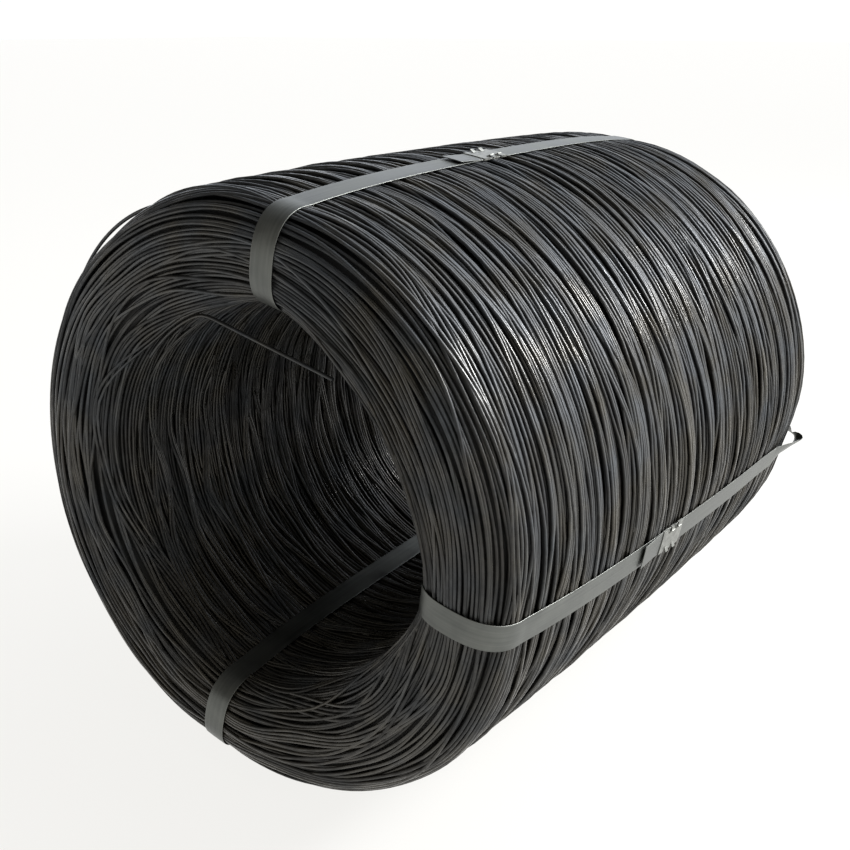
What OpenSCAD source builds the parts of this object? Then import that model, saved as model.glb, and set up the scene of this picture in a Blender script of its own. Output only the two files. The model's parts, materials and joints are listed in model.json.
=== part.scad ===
// Coil of black annealed steel wire, lying on its side, held by three flat steel straps.
// The coil is one turned solid whose section is edged with its turns of wire.
// Each strap is a closed loop through the bore, with its ends lapped under a notched seal.

/* [Coil] */
// Diameter of the bore, inside the turns
bore_d = 464; // [380:2:520]
// Thickness of the wall of turns, at the middle of the length
wall_t = 146; // [115:1:180]
// Length over the two rounded ends
coil_length = 905; // [700:5:1200]
// How far each end stands out past its bore rim and its shoulder
end_round = 55; // [30:1:80]
// Fullness of a rounded end: 2 is an ellipse, and a higher power is squarer
end_power = 2.6; // [2:0.1:3.4]
// How much smaller the radius is at the shoulders than at the middle
barrel = 5; // [0:0.5:12]

/* [Wire] */
// Diameter of the wire
wire_d = 4.5; // [3.5:0.1:8]
// Distance between neighbouring turns, as a share of the wire's diameter
turn_pitch = 0.95; // [0.85:0.01:0.98]

/* [Straps] */
// Width of the steel strap
strap_w = 32; // [19:1:40]
// Thickness of the steel strap
strap_t = 0.8; // [0.5:0.05:0.9]
// Clearance between a strap and the turns that it holds
strap_gap = 0.25; // [0.15:0.05:0.3]
// Place of the top strap round the coil, in degrees from straight below
top_angle = 188.5; // [150:0.5:220]
// Place of the side strap round the coil, in degrees from straight below
side_angle = 282; // [250:0.5:310]
// Place of the bottom strap round the coil, in degrees from straight below
bottom_angle = 15; // [14:0.5:40]
// Slant of the top strap to the coil's axis, in degrees
top_slant = 2; // [-4:0.5:4]
// Slant of the side strap to the coil's axis, in degrees
side_slant = -2.5; // [-4:0.5:4]
// Slant of the bottom strap to the coil's axis, in degrees
bottom_slant = -2.5; // [-3:0.5:3]

/* [Slack corner of the side strap] */
// How far before the far shoulder the strap leaves the turns
slack_before = 125; // [60:5:180]
// How far past the far shoulder the slack corner reaches
slack_past = 47; // [35:1:54]
// How far the slack corner stands above the far shoulder
slack_height = 10; // [4:1:20]
// How far in from the shoulder the strap comes back to the turns of the far end
slack_inset = 16; // [10:1:30]
// Inside radius of the bend at the slack corner
slack_bend = 6; // [3:0.5:8]

/* [Seals] */
// Length of a seal along its strap
seal_l = 57; // [48:1:80]
// Thickness of the seal's sheet
seal_t = 0.9; // [0.6:0.1:1.2]
// Clearance between a seal and the strap inside it
seal_gap = 0.15; // [0.1:0.05:0.3]
// Place of the top seal along the coil, from the middle
top_seal_at = -21; // [-120:1:120]
// Place of the side seal along the coil, from the middle
side_seal_at = -59; // [-120:1:120]
// Place of the bottom seal along the coil, from the middle
bottom_seal_at = 40; // [-120:1:120]
// Distance between the two notches at an edge of a seal
notch_pitch = 20; // [14:1:26]
// Depth of a notch, in from the strap's edge
notch_depth = 5; // [3:0.5:7]
// Width of a notch, along the strap
notch_w = 8; // [5:0.5:11]
// Length of the tab that is bent out of a notch
tab_l = 6.5; // [4:0.5:8]
// Angle that a tab is bent up by
tab_bend = 30; // [15:5:40]
// Length of the free strap end that stands out of a seal
tail_l = 55; // [20:1:80]
// How far the free strap end lifts off the strap below
tail_lift = 3; // [0.5:0.5:5]

/* [Hidden] */

// Facets of a full turn, and points along each stretch of an outline
round_fn = 144;
arc_steps = 4;
end_steps = 28;
barrel_steps = 14;
bend_steps = 6;
seal_steps = 6;

half_l = coil_length / 2;
bore_r = bore_d / 2;
coil_od = bore_d + 2 * wall_t;
wire_r = wire_d / 2;
shoulder_r = coil_od / 2 - barrel;
lip_z = half_l - end_round;

// Radius of the outside at a distance along the axis from the middle
function outside_r(z) = shoulder_r + barrel * (1 - pow(z / lip_z, 2));

// Middle of the wall, and half its thickness, at the line of the outermost wires' centres
wall_mid = (shoulder_r + bore_r) / 2;
wall_half = (shoulder_r - bore_r) / 2 - wire_r;

// Point of a rounded end, from the bore rim at 0 degrees over the crown to the shoulder at 180
function end_point(turn) =
    let (in = cos(turn), up = sin(turn), flat = 2 / end_power)
    [
        wall_mid - sign(in) * wall_half * pow(abs(in), flat),
        lip_z + (end_round - wire_r) * pow(abs(up), flat)
    ];

// Line of the outermost wires' centres, from the far bore rim round the outside to the near one
far_end = [for (i = [0:end_steps]) end_point(180 * i / end_steps)];
outside = [
    for (i = [1:barrel_steps - 1])
        let (z = lip_z * (1 - 2 * i / barrel_steps))
        [outside_r(z) - wire_r, z]
];
near_end = [for (i = [end_steps:-1:0]) [far_end[i].x, -far_end[i].y]];
wire_line = concat(far_end, outside, near_end);

// Direction across a run of points, to the outside of the section
function across(along) = [-along.y, along.x] / norm(along);

// A line moved outwards by a distance, with its two ends moved straight into the bore
function moved(line, by) =
    let (last = len(line) - 1)
    [
        for (i = [0:last])
            i == 0 || i == last
                ? line[i] - [by, 0]
                : line[i] + by * across(line[i + 1] - line[i - 1])
    ];

// Running length of a line at each of its points
function run_length(line, i = 0, done = 0, list = []) =
    i == len(line)
        ? list
        : let (now = done + (i == 0 ? 0 : norm(line[i] - line[i - 1])))
          run_length(line, i + 1, now, concat(list, [now]));

wire_run = run_length(wire_line);
run_end = wire_run[len(wire_run) - 1];
radius_at = [for (i = [0:len(wire_line) - 1]) [wire_run[i], wire_line[i].x]];
height_at = [for (i = [0:len(wire_line) - 1]) [wire_run[i], wire_line[i].y]];
function point_at(s) = [lookup(s, radius_at), lookup(s, height_at)];

// Turns along the line, and the angle of a wire's arc from its crest to its groove
turns = floor(run_end / (wire_d * turn_pitch));
turn_step = run_end / turns;
groove_angle = asin(min(1, turn_step / wire_d));

// Edge of the section: each turn is an arc of the wire, from its groove to the next one
wire_edge = [
    for (i = [0:turns - 1])
        let (
            s = (i + 0.5) * turn_step,
            along = point_at(s + wire_r) - point_at(s - wire_r),
            out = across(along),
            ahead = along / norm(along)
        )
        for (k = [0:arc_steps - 1])
            let (turn = groove_angle * (2 * k / arc_steps - 1))
            point_at(s) + wire_r * (cos(turn) * out + sin(turn) * ahead)
];

// Arc of a radius that rounds the corner between two points
function rounded(a, corner, b, radius) =
    let (
        to_a = (a - corner) / norm(a - corner),
        to_b = (b - corner) / norm(b - corner),
        half = acos(to_a * to_b) / 2,
        middle = corner + (to_a + to_b) / norm(to_a + to_b) * radius / sin(half),
        from = corner + to_a * radius / tan(half) - middle,
        to = corner + to_b * radius / tan(half) - middle,
        start = atan2(from.y, from.x),
        turn = (atan2(to.y, to.x) - start + 540) % 360 - 180
    )
    [for (i = [0:bend_steps]) middle + radius * [cos(start + turn * i / bend_steps),
                                                 sin(start + turn * i / bend_steps)]];

// Inner face of a strap that is pulled tight, and of one with its far corner slack
tight_line = moved(wire_line, wire_r + strap_gap);
slack_z = lip_z - slack_before;
slack_r = shoulder_r - slack_inset;
slack_in = [for (p = tight_line) if (p.y > slack_z && p.x < slack_r) p];
slack_out = [for (p = tight_line) if (p.y <= slack_z) p];
slack_corner = [shoulder_r + slack_height, lip_z + slack_past];
slack_line = concat(
    slack_in,
    rounded(slack_in[len(slack_in) - 1], slack_corner, slack_out[0], slack_bend),
    slack_out
);

// Heights over the outside: of the strap, of the lapped strap on it, and of the seal's sheet
strap_top = strap_gap + strap_t;
lap_top = strap_top + strap_t;
sheet_low = lap_top + seal_gap;
sheet_top = sheet_low + seal_t;

// Outer face of a strap, with its free end lapped over it from inside the seal towards the near end
function lapped(line, seal_at) =
    let (
        edge = seal_at - seal_l / 2,
        free = edge - tail_l,
        start = seal_at + seal_l / 2 - seal_t,
        outer = moved(line, strap_t)
    )
    concat(
        [for (p = outer) if (p.y > start) p],
        [
            [outside_r(start) + strap_top, start],
            [outside_r(start) + lap_top, start],
            [outside_r(edge) + lap_top, edge],
            [outside_r(free) + lap_top + tail_lift, free],
            [outside_r(free) + strap_top + tail_lift, free],
            [outside_r(edge) + strap_top, edge]
        ],
        [for (p = outer) if (p.y < edge) p]
    );

// Lays the coil's axis level, with its underside on the floor
module lay() {
    translate([0, 0, coil_od / 2])
        rotate([0, 90, 0])
            children();
}

// Puts a shape on the line of a strap: X outwards, Y across the strap and Z along the coil
module on_strap(angle, slant) {
    rotate([0, 0, angle])
        rotate([slant, 0, 0])
            children();
}

// A slice of the given width through one side of the coil
module slice(angle, slant, width) {
    on_strap(angle, slant)
        translate([0, -width / 2, -coil_length])
            cube([coil_od, width, 2 * coil_length]);
}

// A turned band over the outside, between two heights, along a seal
module seal_band(seal_at, low, high) {
    places = [for (i = [0:seal_steps]) seal_at + seal_l * (i / seal_steps - 0.5)];
    rotate_extrude($fn = round_fn)
        polygon(concat(
            [for (z = places) [outside_r(z) + low, z]],
            [for (i = [seal_steps:-1:0]) [outside_r(places[i]) + high, places[i]]]
        ));
}

// A strap: a turned loop round the section, cut to the strap's width
module strap(angle, slant, seal_at, line) {
    color("darkgray")
        lay()
            intersection() {
                rotate_extrude($fn = round_fn)
                    difference() {
                        polygon(lapped(line, seal_at));
                        polygon(line);
                    }
                slice(angle, slant, strap_w);
            }
}

// A tab cut free at a notch and bent up, at one edge of a seal
module bent_tab(seal_at, notch_at, edge) {
    root = strap_w / 2 - notch_depth - seal_t / 2;
    translate([outside_r(seal_at) + sheet_low + seal_t / 3, edge * root, notch_at])
        rotate([0, 0, -edge * tab_bend])
            translate([0, edge > 0 ? 0 : -tab_l, -notch_w / 2 + seal_gap])
                cube([seal_t, tab_l, notch_w - 2 * seal_gap]);
}

// A seal: a channel of sheet over the lapped strap ends, with two notches at each edge
module seal(angle, slant, seal_at) {
    notches = [seal_at - notch_pitch / 2, seal_at + notch_pitch / 2];
    inner_w = strap_w + 2 * seal_gap;
    outer_w = inner_w + 2 * seal_t;
    color("lightgray")
        lay() {
            difference() {
                intersection() {
                    seal_band(seal_at, strap_gap, sheet_top);
                    slice(angle, slant, outer_w);
                }
                intersection() {
                    seal_band(seal_at, 0, sheet_low);
                    slice(angle, slant, inner_w);
                }
                on_strap(angle, slant)
                    for (z = notches, edge = [-1, 1])
                        translate([shoulder_r - seal_l, 0, z - notch_w / 2])
                            mirror([0, edge > 0 ? 0 : 1, 0])
                                translate([0, strap_w / 2 - notch_depth, 0])
                                    cube([2 * seal_l, strap_w, notch_w]);
            }
            on_strap(angle, slant)
                for (z = notches, edge = [-1, 1])
                    bent_tab(seal_at, z, edge);
        }
}

// The coil: its wall, edged all round with turns of wire, and a plain bore
module wire_coil() {
    color("dimgray")
        lay()
            rotate_extrude($fn = round_fn)
                polygon(concat([[bore_r, lip_z]], wire_edge, [[bore_r, -lip_z]]));
}

module top_strap() {
    strap(top_angle, top_slant, top_seal_at, tight_line);
}

module side_strap() {
    strap(side_angle, side_slant, side_seal_at, slack_line);
}

module bottom_strap() {
    strap(bottom_angle, bottom_slant, bottom_seal_at, tight_line);
}

module top_seal() {
    seal(top_angle, top_slant, top_seal_at);
}

module side_seal() {
    seal(side_angle, side_slant, side_seal_at);
}

module bottom_seal() {
    seal(bottom_angle, bottom_slant, bottom_seal_at);
}

wire_coil();
top_strap();
side_strap();
bottom_strap();
top_seal();
side_seal();
bottom_seal();
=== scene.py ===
# %% [markdown]
# # A coil of black annealed wire
# The part is one long steel wire, laid in loops into a thick-walled coil and held by three flat straps.
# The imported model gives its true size: one turned solid, three straps and three seals.
# This lesson keeps that frame and lays the single turns of wire over it, because the eye reads the coil
# by its turns: how they run side by side, cross each other and leave dark gaps.

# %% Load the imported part
import json
import math

import bpy
import numpy as np
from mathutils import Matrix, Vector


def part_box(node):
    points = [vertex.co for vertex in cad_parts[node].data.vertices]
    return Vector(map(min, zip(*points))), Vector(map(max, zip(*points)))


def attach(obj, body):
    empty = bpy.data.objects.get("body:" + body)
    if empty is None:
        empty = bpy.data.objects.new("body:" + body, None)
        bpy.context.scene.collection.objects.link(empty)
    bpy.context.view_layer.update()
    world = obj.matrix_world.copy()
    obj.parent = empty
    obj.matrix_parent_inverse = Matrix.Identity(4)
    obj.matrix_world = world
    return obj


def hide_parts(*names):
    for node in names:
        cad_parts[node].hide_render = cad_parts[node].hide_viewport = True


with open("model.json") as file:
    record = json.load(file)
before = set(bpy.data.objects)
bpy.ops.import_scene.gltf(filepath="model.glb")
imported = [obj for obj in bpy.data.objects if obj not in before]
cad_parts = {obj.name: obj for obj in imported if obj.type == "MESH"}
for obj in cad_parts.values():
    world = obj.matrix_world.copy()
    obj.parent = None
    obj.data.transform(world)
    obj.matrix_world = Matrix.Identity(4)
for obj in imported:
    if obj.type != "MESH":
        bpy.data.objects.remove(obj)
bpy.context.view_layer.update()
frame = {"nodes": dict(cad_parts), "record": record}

scene = bpy.context.scene
print("nodes", sorted(frame["nodes"]))

# %% [markdown]
# ## Camera
# The photo looks down along the coil from its open end. A camera was fitted to the outline of the coil,
# which gives its place, its turn and the length of the lens, for a square picture.

# %% Camera
HEADING, DOWN = math.radians(36.08), math.radians(19.43)
STANDPOINT = (-1.3087, -0.8971, 0.9172)
LENS_MM, SENSOR_MM = 48.355, 36.0
camera_data = bpy.data.cameras.new("camera")
camera_data.lens, camera_data.sensor_width = LENS_MM, SENSOR_MM
camera = bpy.data.objects.new("camera", camera_data)
scene.collection.objects.link(camera)
camera.location = STANDPOINT
camera.rotation_euler = (math.pi / 2 - DOWN, 0.0, HEADING - math.pi / 2)
scene.camera = camera
print("camera at", tuple(camera.location))

# %% [markdown]
# ## Floor and light
# The coil lies on a sheet of opal acrylic that is lit from below, as a light table in a studio is,
# so the floor stays white and shadows stay faint. The wire is nearly black, so its shape shows by
# what it reflects. A picture of a studio could light it, but a few soft boxes are easier to place.
# Those behind and to the right light the flank, and a long panel there draws the broken streak along it.
# The open end faces away from them and stays dark.

# %% Node and colour helpers
def linear(code):
    """An sRGB hex colour as the linear values that a shader takes."""
    c = np.array([int(code[i:i + 2], 16) for i in (1, 3, 5)]) / 255
    return (*np.where(c <= 0.04045, c / 12.92, ((c + 0.055) / 1.055) ** 2.4).tolist(), 1.0)


def add(tree, kind, settings=(), links=()):
    """Adds a node, sets its values by name, and links its inputs to other nodes' outputs."""
    node = tree.nodes.new(kind)
    for name, value in dict(settings).items():
        if hasattr(node, str(name)):
            setattr(node, name, value)
        else:
            node.inputs[name].default_value = value
    for name, source in dict(links).items():
        tree.links.new(source, node.inputs[name])
    return node


def new_material(name):
    """An empty node material, with the tree to fill and its output node."""
    material = bpy.data.materials.new(name)
    material.use_nodes = True
    material.node_tree.nodes.clear()
    return material, material.node_tree, material.node_tree.nodes.new("ShaderNodeOutputMaterial")


print("middle grey #808080 is", round(linear("#808080")[0], 3), "in linear light")

# %% Floor
FLOOR_SIDE = 120.0
half = FLOOR_SIDE / 2
floor_mesh = bpy.data.meshes.new("floor")
corners = [(-half, -half, 0), (half, -half, 0), (half, half, 0), (-half, half, 0)]
floor_mesh.from_pydata(corners, [], [(0, 1, 2, 3)])
floor = bpy.data.objects.new("floor", floor_mesh)
scene.collection.objects.link(floor)
opal, tree, out = new_material("lit_opal_acrylic_sheet")
# Opal acrylic is milky and dull on top, so lit from below it is an even white without a mirror image
shader = add(tree, "ShaderNodeBsdfPrincipled",
             {"Base Color": linear("#484847"), "Roughness": 0.9,
              "Emission Color": linear("#fffefb"), "Emission Strength": 0.86})
tree.links.new(shader.outputs["BSDF"], out.inputs["Surface"])
floor_mesh.materials.append(opal)
print("floor", FLOOR_SIDE, "m")

# %% Soft boxes
scene.view_settings.view_transform = "Standard"
world = bpy.data.worlds.new("studio")
scene.world = world
world.use_nodes = True
tree = world.node_tree
# Far off: the way to each box from the coil's axis, how high it is, both in degrees, and its strength
SOFT_BOXES = ((315, 45, 4.2), (0, 45, 1.3), (45, 12, 1.6), (270, 12, 2.8), (160, 40, 0.3))
SOFTNESS = 9
spot = add(tree, "ShaderNodeTexCoord")
glow = None
for way, rise, strength in SOFT_BOXES:
    way, rise = math.radians(way), math.radians(rise)
    towards = (math.cos(rise) * math.cos(way), math.cos(rise) * math.sin(way), math.sin(rise))
    facing = add(tree, "ShaderNodeVectorMath", {"operation": "DOT_PRODUCT", 1: towards},
                 {0: spot.outputs["Generated"]})
    front = add(tree, "ShaderNodeMath", {"operation": "MAXIMUM", 1: 0.0}, {0: facing.outputs["Value"]})
    box = add(tree, "ShaderNodeMath", {"operation": "POWER", 1: SOFTNESS}, {0: front.outputs["Value"]})
    glow = add(tree, "ShaderNodeMath", {"operation": "MULTIPLY_ADD", 1: strength, 2: 0.0},
               {0: box.outputs["Value"], **({2: glow.outputs["Value"]} if glow else {})})
print("soft boxes", len(SOFT_BOXES))

# %% Walls and tint
# White walls show just over the far edge of the floor, and the room above them is dim
WALL_GLOW, ROOM_GLOW = 1.15, 0.15
course = add(tree, "ShaderNodeSeparateXYZ", (), {"Vector": spot.outputs["Generated"]})
off_level = add(tree, "ShaderNodeMath", {"operation": "ABSOLUTE"}, {0: course.outputs["Z"]})
walls = add(tree, "ShaderNodeMapRange",
            {"From Min": 0.02, "From Max": 0.1, "To Min": WALL_GLOW, "To Max": ROOM_GLOW},
            {"Value": off_level.outputs["Value"]})
light = add(tree, "ShaderNodeMath", {"operation": "MAXIMUM"},
            {0: walls.outputs["Result"], 1: glow.outputs["Value"]})
tree.links.new(light.outputs["Value"], tree.nodes["Background"].inputs["Strength"])
# The light is cool behind the coil, and warmer in front of its open end
behind = add(tree, "ShaderNodeMapRange", {"From Min": -0.5, "From Max": 0.5},
             {"Value": course.outputs["X"]})
tint = add(tree, "ShaderNodeMix", {"data_type": "RGBA", 6: linear("#fffaf0"), 7: linear("#f2f7ff")},
           {0: behind.outputs["Result"]})
tree.links.new(tint.outputs[2], tree.nodes["Background"].inputs["Color"])
print("walls", WALL_GLOW, "room", ROOM_GLOW)

# %% Panel for the flank
PANEL_PLACE, PANEL_AIM = np.array([2.66, -2.96, 2.98]), np.array([0.0, -0.3, 0.5])
PANEL_SIZE, PANEL_WATTS = (2.6, 0.9), 560
panel_data = bpy.data.lights.new("flank_panel", "AREA")
panel_data.shape, panel_data.energy = "RECTANGLE", PANEL_WATTS
panel_data.size, panel_data.size_y = PANEL_SIZE
panel = bpy.data.objects.new("flank_panel", panel_data)
scene.collection.objects.link(panel)
panel.location = PANEL_PLACE
away = PANEL_PLACE - PANEL_AIM
tilt = math.acos(away[2] / np.linalg.norm(away))
panel.rotation_euler = (tilt, 0.0, math.atan2(away[1], away[0]) + math.pi / 2)
panel.visible_camera = False
print(panel.name, PANEL_WATTS, "W")

# %% [markdown]
# ## Section of the coil
# Cut through its axis, the wall of the coil is a long bar with rounded ends. Once round that outline
# goes over one rounded end, the outside, the other end and the bore. A turn of wire stays near one place
# on the outline and goes round the axis there, so a place on the coil is a distance along the outline,
# an angle and a height over it. Places could be kept as X, Y and Z, but in these terms a turn is simply
# a line that hardly moves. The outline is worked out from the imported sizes, a little below the surface,
# so the wires can pile up to it.

# %% Sizes of the section
# In millimetres: the wire, how high it piles up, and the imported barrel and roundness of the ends
WIRE_D = 4.5
WIRE_R = WIRE_D / 2
PILE = 8.0
DEPTH = WIRE_R + PILE
BARREL, END_POWER = 5.0, 2.6
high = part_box("wire_coil")[1]
eye = frame["record"]["mounts"][0]
BORE_R, LIP = eye["dims"]["r_mm"], eye["dims"]["length_mm"] / 2
AXIS_Z = eye["pos_m"][2] * 1000
OUTER_R, END_ROUND = high.z * 500, high.x * 1000 - LIP
SHOULDER_R = OUTER_R - BARREL
WALL_MID = (SHOULDER_R + BORE_R) / 2
print("outer radius", round(OUTER_R, 1), "bore radius", BORE_R, "rounded ends", round(END_ROUND, 1))

# %% Outline of the section
# Points on a line of the section, the distance of places on the outline in millimetres, and how many
# places either way give the direction at one
END_POINTS, SIDE_POINTS = 241, 161
FINEST, EITHER_WAY = 0.75, 3


def section(depth):
    """The outline (along the axis, out from it) some millimetres below the outermost turns, in four
    lines: the far end from the bore's rim over the crown to the shoulder, the outside, the near end
    and the bore."""
    turn = np.linspace(0.0, np.pi, END_POINTS)
    across, up = np.cos(turn), np.sin(turn).clip(0.0)
    half_wall = (SHOULDER_R - BORE_R) / 2 - depth
    r = WALL_MID - np.sign(across) * half_wall * np.abs(across) ** (2 / END_POWER)
    far_line = np.column_stack([LIP + (END_ROUND - depth) * up ** (2 / END_POWER), r])
    x = np.linspace(LIP, -LIP, SIDE_POINTS)[1:-1]
    out_line = np.column_stack([x, SHOULDER_R + BARREL * (1 - (x / LIP) ** 2) - depth])
    bore_line = np.column_stack([-x, np.full_like(x, BORE_R + depth)])
    return [far_line, out_line, far_line[::-1] * (-1, 1), bore_line]


def lengths(points):
    """Running length at each point of a line."""
    return np.r_[0.0, np.cumsum(np.linalg.norm(np.diff(points, axis=0), axis=1))]


parts = section(DEPTH)
line = np.vstack(parts + [parts[0][:1]])
run = lengths(line)
ROUND = run[-1]
CELLS = int(ROUND / FINEST)
CELL = ROUND / CELLS
place = np.arange(CELLS) * CELL
outline = np.column_stack([np.interp(place, run, line[:, 0]), np.interp(place, run, line[:, 1])])
ahead = np.roll(outline, -EITHER_WAY, 0) - np.roll(outline, EITHER_WAY, 0)
normal = np.column_stack([ahead[:, 1], -ahead[:, 0]]) / np.linalg.norm(ahead, axis=1)[:, None]
ends = np.cumsum([len(part) for part in parts])
FAR_TO, NEAR_FROM, NEAR_TO = run[ends[0] - 1], run[ends[1]], run[ends[2] - 1]
print("outline", round(ROUND), "mm: far end", round(FAR_TO), "outside", round(NEAR_FROM - FAR_TO),
      "near end", round(NEAR_TO - NEAR_FROM), "bore", round(ROUND - NEAR_TO))

# %% [markdown]
# ## Laying the turns
# The real coil is laid by a rotating head that drops loop after loop, a few millimetres apart, each a
# little off centre. The same is done here in numbers, because wire that was only scattered would cut
# through itself. A field over the outline and the angle keeps the lowest height at which a new wire
# could lie. Each new turn follows a slowly wandering path, rests on what the field says, bridges hollows
# as stiff wire does, and then raises the field by its own round back. Small groups of turns share a path,
# so they run side by side like ribbons and cross other groups at a shallow angle.

# %% The field of heights
# Steps round the coil, how many of them a wire bridges either way, and over how many it eases down
STEPS = 288
STIFF = 4
EASE, EASE_SPREAD = 6, 2.2
theta = np.arange(STEPS) * 2 * np.pi / STEPS
rows = np.arange(STEPS)
field = np.zeros((STEPS, CELLS))
crest = np.full((STEPS, CELLS), -PILE)
owner = np.full((STEPS, CELLS), -1)
turns_laid = []
reach = np.arange(-int(WIRE_D / CELL), int(WIRE_D / CELL) + 1)
swell = np.sqrt(np.clip(WIRE_D ** 2 - (reach * CELL) ** 2, 0, None))
back = np.arange(-int(WIRE_R / CELL), int(WIRE_R / CELL) + 1)
back_height = np.sqrt(np.clip(WIRE_R ** 2 - (back * CELL) ** 2, 0, None))
ease = np.exp(-0.5 * (np.arange(-EASE, EASE + 1) / EASE_SPREAD) ** 2)
ease /= ease.sum()


def rest_heights(path):
    """Heights at which a stiff wire on this path rests on the turns below it."""
    below = field[rows, (path / CELL).astype(int) % CELLS]
    bridged = np.max([np.roll(below, k) for k in range(-STIFF, STIFF + 1)], axis=0)
    return np.convolve(np.r_[bridged[-EASE:], bridged, bridged[:EASE]], ease, "valid")


def lay(path, height):
    """Lays one turn on its path, and raises the field and the visible crest by it."""
    column = (path / CELL).astype(int) % CELLS
    span = (column[:, None] + reach) % CELLS
    field[rows[:, None], span] = np.maximum(field[rows[:, None], span], height[:, None] + swell)
    span = (column[:, None] + back) % CELLS
    top = height[:, None] + back_height
    higher = top > crest[rows[:, None], span]
    crest[rows[:, None], span] = np.where(higher, top, crest[rows[:, None], span])
    owner[rows[:, None], span] = np.where(higher, len(turns_laid), owner[rows[:, None], span])
    turns_laid.append((path % ROUND, height))


print("field", STEPS, "angles by", CELLS, "places", round(CELL, 2), "mm apart")

# %% Wandering paths
rng = np.random.default_rng(7)
WAVES = np.arange(1, 13)
# Sideways sizes of the waves round the coil in millimetres, and what a rounded end adds to them
FLANK_WAVES = np.r_[9, 6, 5, 3.5, 2.5, 1.9, np.full(6, 0.8)]
END_WAVES = np.r_[17, 4, 1, np.zeros(9)]
# How far inside an end its waves set in, and over how much, in millimetres
END_EDGE, END_BLEND = 5, 14
# Limits of the first wave of a leaning turn in millimetres, and the spread of its angle in radians
LEAN_LEAST, LEAN_MOST, LEAN_SPREAD = 8, 24, 0.6


def at_end(s):
    """How much a place belongs to a rounded end: 1 there, 0 on the outside and in the bore."""
    s = s % ROUND
    inside = max(min(s, FAR_TO - s), min(s - NEAR_FROM, NEAR_TO - s))
    return 1 / (1 + math.exp(-(inside - END_EDGE) / END_BLEND))


def wander(s, lean=None):
    """A slowly wandering path round the coil, wide on the ends and narrow on the flanks."""
    sizes = FLANK_WAVES + END_WAVES * at_end(s)
    waves, phases = rng.normal(0, sizes), rng.uniform(0, 2 * np.pi, len(WAVES))
    if lean is not None:
        waves[0] = min(abs(waves[0]) + LEAN_LEAST, LEAN_MOST)
        phases[0] = lean + rng.normal(0, LEAN_SPREAD)
    return s + waves @ np.cos(WAVES[:, None] * theta - phases[:, None])


print("first wave", FLANK_WAVES[0], "mm on the flanks,", FLANK_WAVES[0] + END_WAVES[0], "mm on the ends")

# %% Groups of turns
# Kinks in millimetres, spacing of neighbours in wire widths, and the height that counts as a hollow
KINK, SPACING, HOLLOW = 0.35, (0.97, 1.05), 2.5
# Kinks of a turn, and how many bends round the coil each of them may have
KINKS, KINK_BENDS = 3, (3, 16)


def lay_beside(path, count):
    """Lays a group of turns side by side along one path, each with small kinks of its own."""
    for k in range(count):
        bends, starts = rng.integers(*KINK_BENDS, KINKS), rng.uniform(0, 2 * np.pi, KINKS)
        kink = rng.normal(0, KINK, KINKS) @ np.cos(bends[:, None] * theta + starts[:, None])
        beside = path + (k - (count - 1) / 2) * WIRE_D * rng.uniform(*SPACING) + kink
        lay(beside, rest_heights(beside))


def lay_groups(until, choices, most, lean=None):
    """Lays groups of turns, each on the lowest of some choices of path, up to a mean height."""
    while field.mean() < until:
        best = None
        for s in rng.uniform(0, ROUND, choices):
            path = wander(s, lean if NEAR_FROM < s < NEAR_TO else None)
            need = np.exp(-field[rows, (path / CELL).astype(int) % CELLS] / HOLLOW).mean()
            if best is None or need > best[0]:
                best = need, path
        lay_beside(best[1], int(rng.integers(1, most + 1)))


print("neighbours", SPACING[0], "to", SPACING[1], "wire widths apart")

# %% Laying
# The first layer lies close, a little wavy
BASE_SPACING, BASE_WAVE, BASE_WAVES = 1.04, 0.8, 4
for s in np.arange(0, ROUND, WIRE_D * BASE_SPACING):
    bends = rng.uniform(0, 2 * np.pi, BASE_WAVES)
    wavy = rng.normal(0, BASE_WAVE, BASE_WAVES) @ np.cos(WAVES[:BASE_WAVES, None] * theta + bends[:, None])
    lay_beside(s + wavy, 1)
# Ribbons of up to four turns come next, then single ones and pairs that lean one way on the open end
RIBBONS_UP_TO, PAIRS_UP_TO, END_LEAN = PILE + 1.5, PILE + 5.0, 2.6
lay_groups(RIBBONS_UP_TO, choices=24, most=4)
lay_groups(PAIRS_UP_TO, choices=16, most=2, lean=END_LEAN)
print("turns", len(turns_laid), "mean height", round(field.mean(), 2))

# %% [markdown]
# ## Straps press the turns
# Under a strap the turns are pulled down to one level, and between the straps they swell a little.
# At the two ends a strap also draws the wall together, so the bore's rim gives way there.
# A simulation could press them, but a formula is quicker and easier to steer. A strap's middle plane
# goes through the middle of the coil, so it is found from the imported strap's corners, and the sideways
# distance of a wire from that plane says how hard it is pressed.

# %% Planes of the straps
def strap_plane(name):
    """Angle round the axis, and lean along it, of the plane that a packed strap's corners lie about."""
    mesh = frame["nodes"][name].data
    corners = np.empty(3 * len(mesh.vertices))
    mesh.vertices.foreach_get("co", corners)
    corners = corners.reshape(-1, 3) - (0, 0, AXIS_Z / 1000)
    across = np.linalg.svd(corners, full_matrices=False)[2][2]
    side = math.atan2(*corners.mean(0)[[2, 1]])
    across *= np.sign(across @ (0, -math.sin(side), math.cos(side)))
    return math.atan2(-across[1], across[2]), math.atan2(across[0], math.hypot(across[1], across[2]))


STRAPS = {name: strap_plane(name) for name in ("top_strap", "side_strap", "bottom_strap")}
for name, plane in STRAPS.items():
    print(name, "at", np.degrees(plane).round(2), "degrees")

# %% Pressing
# Level under a strap, and how much turns swell between the straps, in millimetres
PRESSED_LEVEL, SWELL, PRESS_WIDTH = PILE - 0.4, 1.8, 34.0
# How far low turns sink in, as a share, on the flanks and on the ends, and how far high ones stay proud
BEDDED, BEDDED_END, BED_BLEND, PROUD = 0.6, 0.42, 20, 0.1
# How far the wall is drawn together at its ends, as a share, from the bore and from the outside
PINCH_IN, PINCH_OUT, PINCH_WIDTH, PINCH_POWER = 0.25, 0.1, 80.0, 4


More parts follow.
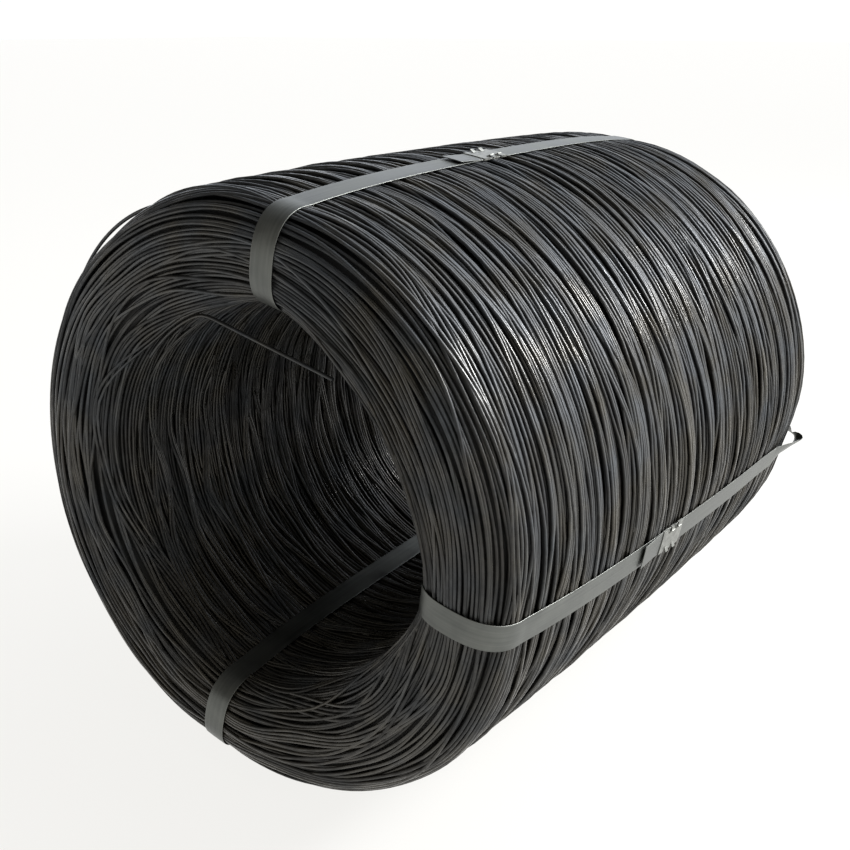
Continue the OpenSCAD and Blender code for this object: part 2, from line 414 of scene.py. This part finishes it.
def strap_grip(x, r, angle, width):
    """How near places are to a strap: 1 under its middle, 0 some widths away."""
    grip = np.zeros_like(x)
    for at, lean in STRAPS.values():
        aside = r * np.sin(angle - at) + x * math.tan(lean)
        grip = np.maximum(grip, np.where(np.cos(angle - at) > 0, np.exp(-(aside / width) ** 2), 0.0))
    return grip


def pressed(x, r, angle, height):
    """Heights of wires after the straps have pulled them down: high ones end nearly level,
    and low ones bed in between their neighbours."""
    free = 1 - strap_grip(x, r, angle, PRESS_WIDTH)
    top = PRESSED_LEVEL + SWELL * free
    bedded = np.interp(np.abs(x), (LIP, LIP + BED_BLEND), (BEDDED, BEDDED_END))
    level = top - bedded * np.logaddexp(0, top - height)
    return level + PROUD * free * (height - top).clip(0)


def pinched(x, r, grip):
    """Radii after the straps have drawn the wall together towards its middle, most at the bore's rims."""
    towards_end = np.clip(np.abs(x) / LIP, 0, 1) ** PINCH_POWER
    return r + np.where(r < WALL_MID, PINCH_IN, PINCH_OUT) * grip * towards_end * (WALL_MID - r)


print("bore's rim drawn in", round(PINCH_IN * (WALL_MID - BORE_R), 1), "mm under a strap")

# %% [markdown]
# ## From paths to wire
# Only the stretches of a turn that show are made into wire. Each is a round tube with few sides and
# smooth shading, because a turn is only three pixels wide in the picture. Blender's curves with a round
# bevel could draw them. Meshes built from arrays are quicker, and let two values travel with each point:
# the tone of its turn, and how far along the wire it is. The tubes of one region are joined in one mesh.

# %% Stretches that show
# Steps that a stretch goes on under its neighbours, and steps of the shortest one that is made
DRAWN_OUT, SHORTEST = 5, 12


def shown_stretches(index, column):
    """First and last steps of a turn's stretches that show, drawn out a little under its neighbours."""
    seen = (owner[rows[:, None], (column[:, None] + back) % CELLS] == index).any(1)
    seen = np.any([np.roll(seen, k) for k in range(-DRAWN_OUT, DRAWN_OUT + 1)], axis=0)
    if seen.all():
        return [(0, STEPS)]
    first = np.flatnonzero(seen & ~np.roll(seen, 1))
    last = np.flatnonzero(seen & ~np.roll(seen, -1))
    pairs = [(f, last[last >= f].min() if (last >= f).any() else last.min() + STEPS) for f in first]
    return [(f, t) for f, t in pairs if t - f > SHORTEST]


print("turns that show", len(np.unique(owner[owner >= 0])), "of", len(turns_laid))

# %% Places in space
# One turn has sprung out of the near shoulder, and the others have sunk there, in millimetres
SUNK, SPRUNG_AT, SPRUNG_WIDTH = 6.0, math.radians(54), math.radians(11)


def sunk(x, r, angle):
    """How far the turns have sunk where one of them sprang out of the near shoulder."""
    near = (np.clip(-x / LIP, 0, 1) * np.clip((r - WALL_MID) / (SHOULDER_R - WALL_MID), 0, 1)) ** 2
    aside = (angle - SPRUNG_AT + np.pi) % (2 * np.pi) - np.pi
    return SUNK * near * np.exp(-(aside / SPRUNG_WIDTH) ** 2)


def wire_points(s, height, angle):
    """Points in metres, and outward directions, for places on the outline, heights over it and angles."""
    spot = s / CELL
    base, share = spot.astype(int), (spot % 1)[:, None]
    p = outline[base % CELLS] * (1 - share) + outline[(base + 1) % CELLS] * share
    n = normal[base % CELLS] * (1 - share) + normal[(base + 1) % CELLS] * share
    q = p + n * pressed(p[:, 0], p[:, 1], angle, height)[:, None]
    r = pinched(q[:, 0], q[:, 1], strap_grip(q[:, 0], q[:, 1], angle, PINCH_WIDTH))
    r = r - sunk(q[:, 0], r, angle)
    z = np.maximum(AXIS_Z + r * np.sin(angle), WIRE_R)
    points = np.column_stack([q[:, 0], r * np.cos(angle), z]) / 1000
    outward = np.column_stack([n[:, 0], n[:, 1] * np.cos(angle), n[:, 1] * np.sin(angle)])
    return points, outward


print("turns sunk by up to", SUNK, "mm at the near shoulder")

# %% Tubes
def tube(points, outward, sides):
    """Vertices round a run of points, the quads between them and the two end faces, as arrays."""
    along = np.gradient(points, axis=0)
    along /= np.linalg.norm(along, axis=1)[:, None]
    aside = np.cross(along, outward)
    aside /= np.linalg.norm(aside, axis=1)[:, None]
    up = np.cross(aside, along)
    turn = (2 * np.pi * (np.arange(sides) + 0.5) / sides)[:, None]
    ring = points[:, None] + WIRE_R / 1000 * (np.cos(turn) * up[:, None] + np.sin(turn) * aside[:, None])
    k = np.arange(sides)
    i = np.arange(len(points) - 1)[:, None] * sides
    right = (k + 1) % sides
    quads = np.stack([i + k, i + sides + k, i + sides + right, i + right], axis=-1).reshape(-1, 4)
    caps = np.stack([k, (len(points) - 1) * sides + k[::-1]])
    return ring.reshape(-1, 3), quads, caps


print("tubes of", WIRE_D, "mm")

# %% One mesh from many tubes
def joined(name, pieces, labels=("tone", "along")):
    """One object from many pieces, each given as vertices, quads, end faces and two values a vertex."""
    starts = np.cumsum([0] + [len(piece[0]) for piece in pieces])
    verts = np.vstack([piece[0] for piece in pieces])
    quads = np.vstack([piece[1] + start for piece, start in zip(pieces, starts)])
    caps = np.vstack([piece[2] + start for piece, start in zip(pieces, starts)])
    # The end faces get corners of their own, so the wall of a tube is shaded as if it went on
    twice = np.r_[np.arange(len(verts)), caps.ravel()]
    caps = len(verts) + np.arange(caps.size).reshape(caps.shape)
    verts = verts[twice]
    corners = np.r_[quads.ravel(), caps.ravel()]
    cap_starts = quads.size + np.arange(0, caps.size, max(caps.shape[1], 1))
    first = np.r_[np.arange(0, quads.size, 4), cap_starts]
    mesh = bpy.data.meshes.new(name)
    mesh.vertices.add(len(verts))
    mesh.vertices.foreach_set("co", verts.ravel().astype(np.float32))
    mesh.loops.add(len(corners))
    mesh.loops.foreach_set("vertex_index", corners.astype(np.int32))
    mesh.polygons.add(len(first))
    mesh.polygons.foreach_set("loop_start", first.astype(np.int32))
    mesh.update(calc_edges=True)
    mesh.polygons.foreach_set("use_smooth", np.arange(len(first)) < len(quads))
    for label, column in zip(labels, (3, 4)):
        values = np.concatenate([piece[column] for piece in pieces])[twice].astype(np.float32)
        mesh.attributes.new(label, "FLOAT", "POINT").data.foreach_set("value", values)
    mesh.validate()
    made = bpy.data.objects.new(name, mesh)
    scene.collection.objects.link(made)
    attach(made, "root")
    triangles = sum(len(p.vertices) - 2 for p in mesh.polygons)
    print(name, len(pieces), "stretches", triangles, "triangles")
    return made


# %% Regions
OUT_MID = (FAR_TO + NEAR_FROM) / 2
# Each from one place on the outline to another, with the steps between two rings and the sides of a tube
REGIONS = {
    "far_end_turns": (0.0, FAR_TO, 3, 5),
    "far_flank_turns": (FAR_TO, OUT_MID, 3, 5),
    "near_flank_turns": (OUT_MID, NEAR_FROM, 3, 5),
    "near_end_turns": (NEAR_FROM, NEAR_TO, 2, 6),
    "bore_turns": (NEAR_TO, ROUND, 4, 4),
}
# A turn's tone is partly that of the turn before, and each turn starts further along the wire, in metres
TONE_KEPT, TONE_NEW, TURN_SHIFT = 0.7, 0.7, 1.7
tubes = {name: [] for name in REGIONS}
tone = 0.0
for index, (path, height) in enumerate(turns_laid):
    tone = TONE_KEPT * tone + TONE_NEW * rng.normal()
    for first, last in shown_stretches(index, (path / CELL).astype(int)):
        middle = path[((first + last) // 2) % STEPS]
        name = next(n for n, (a, b, *_) in REGIONS.items() if a <= middle <= b)
        step, sides = REGIONS[name][2:]
        at = np.unique(np.r_[np.arange(first, last, step), last])
        points, outward = wire_points(path[at % STEPS], height[at % STEPS], at * 2 * np.pi / STEPS)
        made = tube(points, outward, sides)
        length = lengths(points) + index * TURN_SHIFT
        tubes[name].append((*made, np.full(len(made[0]), tone), np.repeat(length, sides)))
turns = [joined(name, tubes[name]) for name in REGIONS]
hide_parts("wire_coil")

# %% [markdown]
# ## Turns below the surface
# Hundreds of turns lie deeper and never show. They could be laid too, but nothing of them would be seen.
# One ring just below the lowest turns that are made closes the gaps, so no light comes through
# the wall. Its tone is darker than any turn's, which is painted shade deep in the gaps.

# %% Inner turns
# Depth below the outline in millimetres, and a tone darker than any other turn's: painted shade for the
# gaps
INNER_DEPTH, INNER_SHADE_TONE = 1.5, -2.0


def inner_ring(depth, every=24, around=72):
    """A closed ring of the section's shape, some millimetres below the laid turns."""
    at = np.arange(0, CELLS, every)
    p = outline[at] - depth * normal[at]
    spin = (np.arange(around) * 2 * np.pi / around)[:, None]
    x = np.broadcast_to(p[:, 0], (around, len(p)))
    r = pinched(x, p[:, 1], strap_grip(x, p[:, 1], spin, PINCH_WIDTH))
    verts = np.stack([x, r * np.cos(spin), AXIS_Z + r * np.sin(spin)], axis=-1) / 1000
    i, k = np.arange(around)[:, None] * len(p), np.arange(len(p))
    j, m = (i + len(p)) % (around * len(p)), (k + 1) % len(p)
    quads = np.stack([i + k, i + m, j + m, j + k], axis=-1).reshape(-1, 4)
    return verts.reshape(-1, 3), quads, np.empty((0, 4), int)


ring = inner_ring(INNER_DEPTH)
inner = joined("inner_turns", [(*ring, np.full(len(ring[0]), INNER_SHADE_TONE), np.zeros(len(ring[0])))])

# %% [markdown]
# ## A loose turn and a loose end
# At the upper left of the open end one turn has sprung out of the shoulder, and light shows behind it.
# Into the upper part of the bore hangs the free end of the wire, bent off the rim and stiff enough
# to stay straight. Both are made as the other turns are, each along a few chosen points.

# %% Loose turn
# Angles of its ends in degrees, how far it stands out in its middle and drops at its ends, and how far
# past the shoulder it lies, in millimetres
SPRUNG_FROM, SPRUNG_TO, SPRUNG_OUT, SPRUNG_DROP, SPRUNG_PAST = 25, 73, 2.2, 14.4, 17.5
SPRUNG_POINTS, LOOSE_TONE = 40, 0.5


def bent_wire(x, y, z, sides=8):
    """A tube along points in millimetres, measured from the middle of the coil's axis."""
    points = np.column_stack([x, y, AXIS_Z + z]) / 1000
    outward = np.column_stack([np.zeros_like(y), y, z])
    made = tube(points, outward / np.linalg.norm(outward, axis=1)[:, None], sides)
    return (*made, np.full(len(made[0]), LOOSE_TONE), np.repeat(lengths(points), sides))


angle = np.radians(np.linspace(SPRUNG_FROM, SPRUNG_TO, SPRUNG_POINTS))
r = SHOULDER_R + SPRUNG_OUT - SPRUNG_DROP * np.linspace(-1, 1, SPRUNG_POINTS) ** 2
loose_turn = bent_wire(np.full(len(r), -LIP - SPRUNG_PAST), r * np.cos(angle), r * np.sin(angle))
print("loose turn from", SPRUNG_FROM, "to", SPRUNG_TO, "degrees")

# %% Loose end
# Angles on the rim in degrees, the tip's radius and angle in the bore, and how far past the rim it lies
RIM_FROM, RIM_TO, TIP_R, TIP_AT, FREE_PAST = 40, 70, 210, math.radians(124.4), 12.5
RIM_LIFT, BEND_PASSES = 0.5, 4
on_rim = np.radians(np.linspace(RIM_FROM, RIM_TO, 16))
rim = (BORE_R + RIM_LIFT) * np.column_stack([np.cos(on_rim), np.sin(on_rim)])
tip = TIP_R * np.array([math.cos(TIP_AT), math.sin(TIP_AT)])
free = rim[-1] + (tip - rim[-1]) * np.linspace(0, 1, 26)[1:, None]
way = np.vstack([rim, free])
# Averaging each point with its neighbours rounds the bend, as the wire's own stiffness does
for _ in range(BEND_PASSES):
    way[1:-1] = (way[:-2] + 2 * way[1:-1] + way[2:]) / 4
loose_end = bent_wire(np.full(len(way), -LIP - FREE_PAST), way[:, 0], way[:, 1])
loose = joined("loose_wire", [loose_turn, loose_end])

# %% [markdown]
# ## Straps
# Flat steel strap, 32 mm wide and 0.8 mm thick, goes through the bore and round the outside, and laps
# over itself at the seal, where its free end lifts a little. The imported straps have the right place
# and size. These bands follow the same loop with finer steps and slightly rounded edges, because an edge
# that catches the light is what makes thin steel look like steel.

# %% Section of a strap
STRAP_W, STRAP_T = 32.0, 0.8
# Places across the band, and half its thickness there
EDGE = STRAP_W / 2 * np.array([-1, -0.99, -0.956, -0.81, -0.37, 0, 0.37, 0.81, 0.956, 0.99, 1])
ROUNDED = STRAP_T / 2 * np.array([0.2, 0.8, 1, 1, 1, 1, 1, 1, 1, 0.8, 0.2])
# Where the slack corner of the side strap comes to a tip: along the axis, and out from it
SLACK_TIP = np.array([LIP + 44, SHOULDER_R + 6])


def even(points, step):
    """A line with its points moved to even steps, without its last point."""
    at = lengths(points)
    places = np.linspace(0, at[-1], int(at[-1] / step) + 1)[:-1]
    return np.column_stack([np.interp(places, at, points[:, k]) for k in (0, 1)])


print("strap", STRAP_W, "x", STRAP_T, "mm, slack tip at", SLACK_TIP.round(1))

# %% A band along a line
def band(points, plane, closed, grip=1.0, twist=0.0, roll=0.0):
    """A strip of strap along a line of the section, drawn in by a grip at the ends, turned about its own
    line by a twist, and about the line of the strap's slack by a roll."""
    at, lean = plane
    if closed:
        ahead = np.roll(points, -1, 0) - np.roll(points, 1, 0)
    else:
        ahead = np.gradient(points, axis=0)
    n = np.column_stack([ahead[:, 1], -ahead[:, 0]]) / np.linalg.norm(ahead, axis=1)[:, None]
    count, sides = len(points), 2 * len(EDGE)
    y, lift = np.r_[EDGE, EDGE[::-1]], np.r_[ROUNDED, -ROUNDED[::-1]]
    grip, twist, roll = (np.broadcast_to(value, count)[:, None] for value in (grip, twist, roll))
    aside, raised = y * np.cos(twist), lift + y * np.sin(twist)
    x = points[:, :1] + n[:, :1] * raised
    over = pinched(points[:, :1], points[:, 1:], grip) + n[:, 1:] * raised - SLACK_TIP[1]
    r = SLACK_TIP[1] + over * np.cos(roll) - aside * np.sin(roll)
    aside = over * np.sin(roll) + aside * np.cos(roll) - points[:, :1] * math.tan(lean)
    spin = at + np.arcsin(aside / r)
    verts = np.stack([x, r * np.cos(spin), AXIS_Z + r * np.sin(spin)], axis=-1) / 1000
    i = np.arange(count if closed else count - 1)[:, None] * sides
    k = np.arange(sides)
    nxt, right = (i + sides) % (count * sides), (k + 1) % sides
    quads = np.stack([i + k, i + right, nxt + right, nxt + k], axis=-1).reshape(-1, 4)
    m = np.arange(sides // 2 - 1)
    cap = np.stack([m, m + 1, sides - 2 - m, sides - 1 - m], axis=-1)
    caps = np.empty((0, 4), int) if closed else np.vstack([cap[:, ::-1], cap + (count - 1) * sides])
    across, along = np.tile(2 * y / STRAP_W, count), np.repeat(lengths(points) / 1000, sides)
    return verts.reshape(-1, 3), quads, caps, across, along


print("a band has", 2 * len(EDGE), "points round its section")

# %% [markdown]
# ## The slack corner
# Where the side strap passes the far end it has come loose. It stands off the coil in a sharp loop and
# is twisted, so the picture shows it nearly edge on. A loop like it could be modelled by bending a strip
# by hand. Here the corner is drawn out to a tip, and the twist and the roll along it are read
# from the picture.

# %% The slack corner
# Where the slack begins on the outside and on the end, and how far the bend at its tip reaches
SLACK_FROM, SLACK_BACK, SLACK_BEND = LIP - 125, SHOULDER_R - 18, 25
CORNER_STEP = 1.5
# Distances along the strap from the tip, negative on the far end, with the degrees of twist and roll there
TWIST_AT, TWIST = (-53, -8, 6, 23), (0, 70, 10, 0)
ROLL_AT, ROLL = (-120, -30, 10, 32, 52, 72, 102), (0, 29, 42, 30, 28, 16, 0)


def slack(points):
    """The loop with its far corner pulled out to a tip, and the distance of each point from the tip."""
    kept = ~((points[:, 0] > SLACK_FROM) & (points[:, 1] > SLACK_BACK))
    last = np.flatnonzero(kept & ~np.roll(kept, -1))[0]
    loop = np.roll(points, -last - 1, 0)[np.roll(kept, -last - 1)]
    to_a, to_b = (loop[-1] - SLACK_TIP), (loop[0] - SLACK_TIP)
    to_a, to_b = to_a / np.linalg.norm(to_a), to_b / np.linalg.norm(to_b)
    bend = np.linspace(0, 1, 9)[:, None]
    corner = SLACK_TIP + SLACK_BEND * (to_a * (1 - bend) ** 2 + to_b * bend ** 2)
    loop = np.vstack([loop, even(np.vstack([loop[-1:], corner, loop[:1]]), CORNER_STEP)[1:]])
    from_tip = lengths(loop) - lengths(loop)[np.linalg.norm(loop - SLACK_TIP, axis=1).argmin()]
    whole = lengths(np.vstack([loop, loop[:1]]))[-1]
    return loop, (from_tip + whole / 2) % whole - whole / 2


print("twist up to", max(TWIST), "and roll up to", max(ROLL), "degrees")

# %% Whole straps
# Gap below the strap, the length of its steps, and how far from the tip the slack still shows
STRAP_GAP, STRAP_STEP, SLACK_REACH = 0.25, 5.0, 90
# The free end starts just inside the seal, lies on the strap below it and lifts in a slight curve
SEAL_L, INSIDE_SEAL, LAP_GAP = 57.0, 1, 0.02
TAIL_L, TAIL_LIFT, TAIL_CURVE, TAIL_POINTS = 55.0, 3.0, 1.3, 30


def strap_band(name):
    """A whole strap: its loop and the free end that laps over it."""
    plane = STRAPS[name]
    mid = STRAP_GAP + STRAP_T / 2
    lines = section(-mid)
    loop = even(np.vstack(lines + [lines[0][:1]]), STRAP_STEP)
    bends = ()
    if name == "side_strap":
        loop, from_tip = slack(loop)
        grip = 1 - np.exp(-(from_tip / SLACK_REACH) ** 2)
        twist = np.radians(np.interp(from_tip, TWIST_AT, TWIST))
        bends = grip, twist, np.radians(np.interp(from_tip, ROLL_AT, ROLL))
    low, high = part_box(name.replace("strap", "seal"))
    seal_at = (low.x + high.x) * 500
    x = np.linspace(seal_at + SEAL_L / 2 - INSIDE_SEAL, seal_at - SEAL_L / 2 - TAIL_L, TAIL_POINTS)
    out_of_seal = np.clip((seal_at - SEAL_L / 2 - x) / TAIL_L, 0, 1)
    lapped = mid + STRAP_T + LAP_GAP + TAIL_LIFT * out_of_seal ** TAIL_CURVE
    free_end = np.column_stack([x, SHOULDER_R + BARREL * (1 - (x / LIP) ** 2) + lapped])
    pieces = [band(loop, plane, True, *bends), band(free_end, plane, False)]
    piece = joined(name + "_band", pieces, ("across", "along"))
    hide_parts(name)
    return piece


straps = [strap_band(name) for name in STRAPS]

# %% [markdown]
# ## Black annealed wire
# Drawn steel wire that was annealed in a closed furnace: a thin black oxide lies on the metal.
# To the eye it is almost black, with a satin sheen that runs along each turn, greyer where turns rubbed
# and a touch brown where dust or rust sits. Low down it is warmer, which is painted warm light from the
# floor.
# A picture of such wire could be wrapped on the tubes, but patterns worked out from real lengths along
# each turn never repeat and stay sharp.

# %% Wire colours
wire, tree, out = new_material("black_annealed_steel_wire")
tone = add(tree, "ShaderNodeAttribute", {"attribute_name": "tone"})
along = add(tree, "ShaderNodeAttribute", {"attribute_name": "along"})
coords = add(tree, "ShaderNodeTexCoord")
# Rubbed and oxidised lengths of about 45 mm follow each other along the wire
stripe = add(tree, "ShaderNodeTexNoise",
             {"noise_dimensions": "1D", "Scale": 1 / 0.045, "Detail": 6.0, "Roughness": 0.7},
             {"W": along.outputs["Fac"]})
# Patches of about 60 mm, across many turns, where the oxide is bluer or browner
patch = add(tree, "ShaderNodeTexNoise", {"Scale": 1 / 0.06, "Detail": 4.0},
            {"Vector": coords.outputs["Object"]})
mixed = add(tree, "ShaderNodeMath", {"operation": "MULTIPLY_ADD", 1: 0.13},
            {0: tone.outputs["Fac"], 2: stripe.outputs["Fac"]})
cool = add(tree, "ShaderNodeValToRGB", (), {"Fac": mixed.outputs["Value"]})
warm = add(tree, "ShaderNodeValToRGB", (), {"Fac": mixed.outputs["Value"]})
for ramp, dark, light in ((cool, "#1f2123", "#3d4043"), (warm, "#23211d", "#45423b")):
    ramp.color_ramp.elements[0].position, ramp.color_ramp.elements[0].color = 0.25, linear(dark)
    ramp.color_ramp.elements[1].position, ramp.color_ramp.elements[1].color = 0.8, linear(light)
# Patches of oxide are bluer or browner at random, and the turns get warmer from the top to the floor:
# painted warm light from the floor below
high_up = add(tree, "ShaderNodeSeparateXYZ", (), {"Vector": coords.outputs["Object"]})
patches_and_low_warmth = add(tree, "ShaderNodeMath", {"operation": "MULTIPLY_ADD", 1: -0.3},
            {0: high_up.outputs["Z"], 2: patch.outputs["Fac"]})
warmer_patches_and_floor_light = add(tree, "ShaderNodeMapRange", {"From Min": 0.2, "From Max": 0.5},
              {"Value": patches_and_low_warmth.outputs["Value"]})
colour = add(tree, "ShaderNodeMix", {"data_type": "RGBA"},
             {0: warmer_patches_and_floor_light.outputs["Result"], 6: cool.outputs["Color"], 7: warm.outputs["Color"]})
print(wire.name, "colours")

# %% Wire sheen
# Where turns rubbed on each other, in patches too, the oxide is smoother and glints
rubbed = add(tree, "ShaderNodeMath", {"operation": "MULTIPLY_ADD", 1: 1.7},
             {0: patch.outputs["Fac"], 2: mixed.outputs["Value"]})
rough = add(tree, "ShaderNodeMapRange",
            {"From Min": 1.1, "From Max": 1.6, "To Min": 0.58, "To Max": 0.22},
            {"Value": rubbed.outputs["Value"]})
# Small kinks from the drawing and laying, about 14 mm apart, break a highlight into short glints
kinks = add(tree, "ShaderNodeTexNoise", {"noise_dimensions": "1D", "Scale": 1 / 0.014, "Detail": 1.0},
            {"W": along.outputs["Fac"]})
bump = add(tree, "ShaderNodeBump", {"Strength": 0.5, "Distance": 0.001}, {"Height": kinks.outputs["Fac"]})
# The oxide is no metal, but it is thin and rubbed through in places, so the wire is metal in part
shader = add(tree, "ShaderNodeBsdfPrincipled", {"Metallic": 0.3},
             {"Base Color": colour.outputs[2], "Roughness": rough.outputs["Result"],
              "Normal": bump.outputs["Normal"]})
tree.links.new(shader.outputs["BSDF"], out.inputs["Surface"])
for piece in turns + [inner, loose]:
    piece.data.materials.append(wire)
print(wire.name, "on", len(turns) + 2, "pieces")

# %% [markdown]
# ## Cold rolled strap and zinc plated seals
# The strap is cold rolled steel with a dull grey, slightly oily surface: long faint streaks from the
# rolls, darker stains where it lay on the oxide, and edges rubbed bright. The seals are zinc plated
# and stay brighter. To the eye both are lighter than the wire, so they draw the coil's shape. Streaks
# could be painted. Here noise is stretched along the strap by its own length, so it follows each bend.

# %% Strap colours
# Streaks about 150 mm long and a tenth of the width, and stains of about 50 mm
strap, tree, out = new_material("cold_rolled_steel_strap")
along = add(tree, "ShaderNodeAttribute", {"attribute_name": "along"})
across = add(tree, "ShaderNodeAttribute", {"attribute_name": "across"})
coords = add(tree, "ShaderNodeTexCoord")
grid = add(tree, "ShaderNodeCombineXYZ", (), {"X": along.outputs["Fac"], "Y": across.outputs["Fac"]})
streak = add(tree, "ShaderNodeMapping", {"Scale": (1 / 0.15, 5.0, 1.0)},
             {"Vector": grid.outputs["Vector"]})
rolled = add(tree, "ShaderNodeTexNoise", {"Scale": 1.0, "Detail": 5.0},
             {"Vector": streak.outputs["Vector"]})
stain = add(tree, "ShaderNodeTexNoise", {"Scale": 1 / 0.05, "Detail": 4.0},
            {"Vector": coords.outputs["Object"]})
both = add(tree, "ShaderNodeMath", {"operation": "MULTIPLY_ADD", 1: 0.5},
           {0: rolled.outputs["Fac"], 2: stain.outputs["Fac"]})
shade = add(tree, "ShaderNodeValToRGB", (), {"Fac": both.outputs["Value"]})
shade.color_ramp.elements[0].position, shade.color_ramp.elements[0].color = 0.5, linear("#505250")
shade.color_ramp.elements[1].position, shade.color_ramp.elements[1].color = 1.0, linear("#6f716d")
edge = add(tree, "ShaderNodeMath", {"operation": "ABSOLUTE"}, {0: across.outputs["Fac"]})
worn = add(tree, "ShaderNodeMapRange", {"From Min": 0.93, "From Max": 1.0, "To Max": 0.3},
           {"Value": edge.outputs["Value"]})
colour = add(tree, "ShaderNodeMix", {"data_type": "RGBA", 7: linear("#84847f")},
             {0: worn.outputs["Result"], 6: shade.outputs["Color"]})
print(strap.name, "colours")

# %% Strap sheen
rough = add(tree, "ShaderNodeMapRange", {"From Min": 0.3, "From Max": 0.7, "To Min": 0.34, "To Max": 0.5},
            {"Value": stain.outputs["Fac"]})
bump = add(tree, "ShaderNodeBump", {"Strength": 0.15, "Distance": 0.0004},
           {"Height": rolled.outputs["Fac"]})
# Bare rolled steel is a metal, under a thin film of oil and dust that takes some of its mirror away
shader = add(tree, "ShaderNodeBsdfPrincipled", {"Metallic": 0.85},
             {"Base Color": colour.outputs[2], "Roughness": rough.outputs["Result"],
              "Normal": bump.outputs["Normal"]})
tree.links.new(shader.outputs["BSDF"], out.inputs["Surface"])
for piece in straps:
    piece.data.materials.append(strap)
print(strap.name, "on", len(straps), "pieces")

# %% Seal material
zinc, tree, out = new_material("zinc_plated_steel_seal")
coords = add(tree, "ShaderNodeTexCoord")
# Plating is uneven over about 6 mm, which gives the eye a soft mottle
spangle = add(tree, "ShaderNodeTexNoise", {"Scale": 1 / 0.006, "Detail": 3.0},
              {"Vector": coords.outputs["Object"]})
shade = add(tree, "ShaderNodeValToRGB", (), {"Fac": spangle.outputs["Fac"]})
shade.color_ramp.elements[0].position, shade.color_ramp.elements[0].color = 0.3, linear("#686965")
shade.color_ramp.elements[1].position, shade.color_ramp.elements[1].color = 0.7, linear("#92938e")
rough = add(tree, "ShaderNodeMapRange", {"From Min": 0.3, "From Max": 0.7, "To Min": 0.35, "To Max": 0.5},
            {"Value": spangle.outputs["Fac"]})
bump = add(tree, "ShaderNodeBump", {"Strength": 0.2, "Distance": 0.0003},
           {"Height": spangle.outputs["Fac"]})
# Zinc is a metal, dulled by a thin film of its own oxide
shader = add(tree, "ShaderNodeBsdfPrincipled", {"Metallic": 0.8},
             {"Base Color": shade.outputs["Color"], "Roughness": rough.outputs["Result"],
              "Normal": bump.outputs["Normal"]})
tree.links.new(shader.outputs["BSDF"], out.inputs["Surface"])
for name in ("top_seal", "side_seal", "bottom_seal"):
    frame["nodes"][name].data.materials.clear()
    frame["nodes"][name].data.materials.append(zinc)
print(zinc.name, "on 3 pieces")
